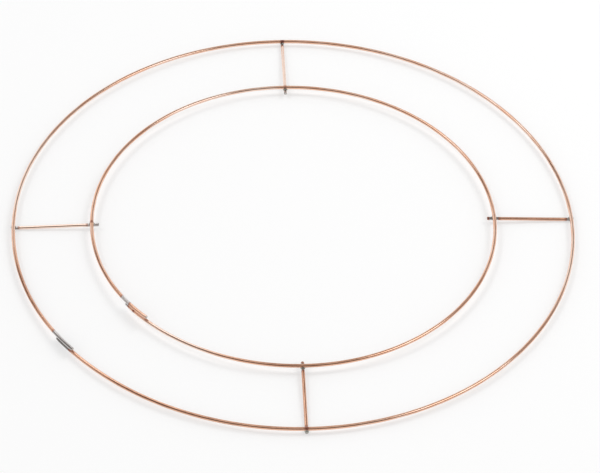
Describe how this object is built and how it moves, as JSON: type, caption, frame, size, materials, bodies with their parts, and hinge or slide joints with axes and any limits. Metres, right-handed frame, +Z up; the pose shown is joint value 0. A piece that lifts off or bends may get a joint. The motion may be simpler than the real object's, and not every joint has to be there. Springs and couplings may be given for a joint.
{
  "type": "wreath frame",
  "caption": "Round copper-plated wire wreath frame with concentric rings welded on top of straight radial spokes, for binding moss, foliage or flowers.",
  "frame": {"origin": "on the rings' common axis, at the level of the flats under the spokes on which the frame stands", "axes": "+Z up along the rings' axis, +X along the right spoke, +Y along the back spoke"},
  "size_m": [0.306, 0.306, 0.007],
  "materials": {
    "copper_wire": "bright drawn steel wire with a thin copper plating",
    "weld": "burnt, dull grey-brown resistance-weld flash"
  },
  "bodies": {
    "root": {"outer_ring": "copper_wire", "inner_ring": "copper_wire", "spoke_right": "copper_wire", "spoke_back": "copper_wire", "spoke_left": "copper_wire", "spoke_front": "copper_wire", "outer_weld_right": "weld", "outer_weld_back": "weld", "outer_weld_left": "weld", "outer_weld_front": "weld", "inner_weld_right": "weld", "inner_weld_back": "weld", "inner_weld_left": "weld", "inner_weld_front": "weld", "outer_lap_weld": "weld", "inner_lap_weld": "weld"}
  },
  "joints": []
}
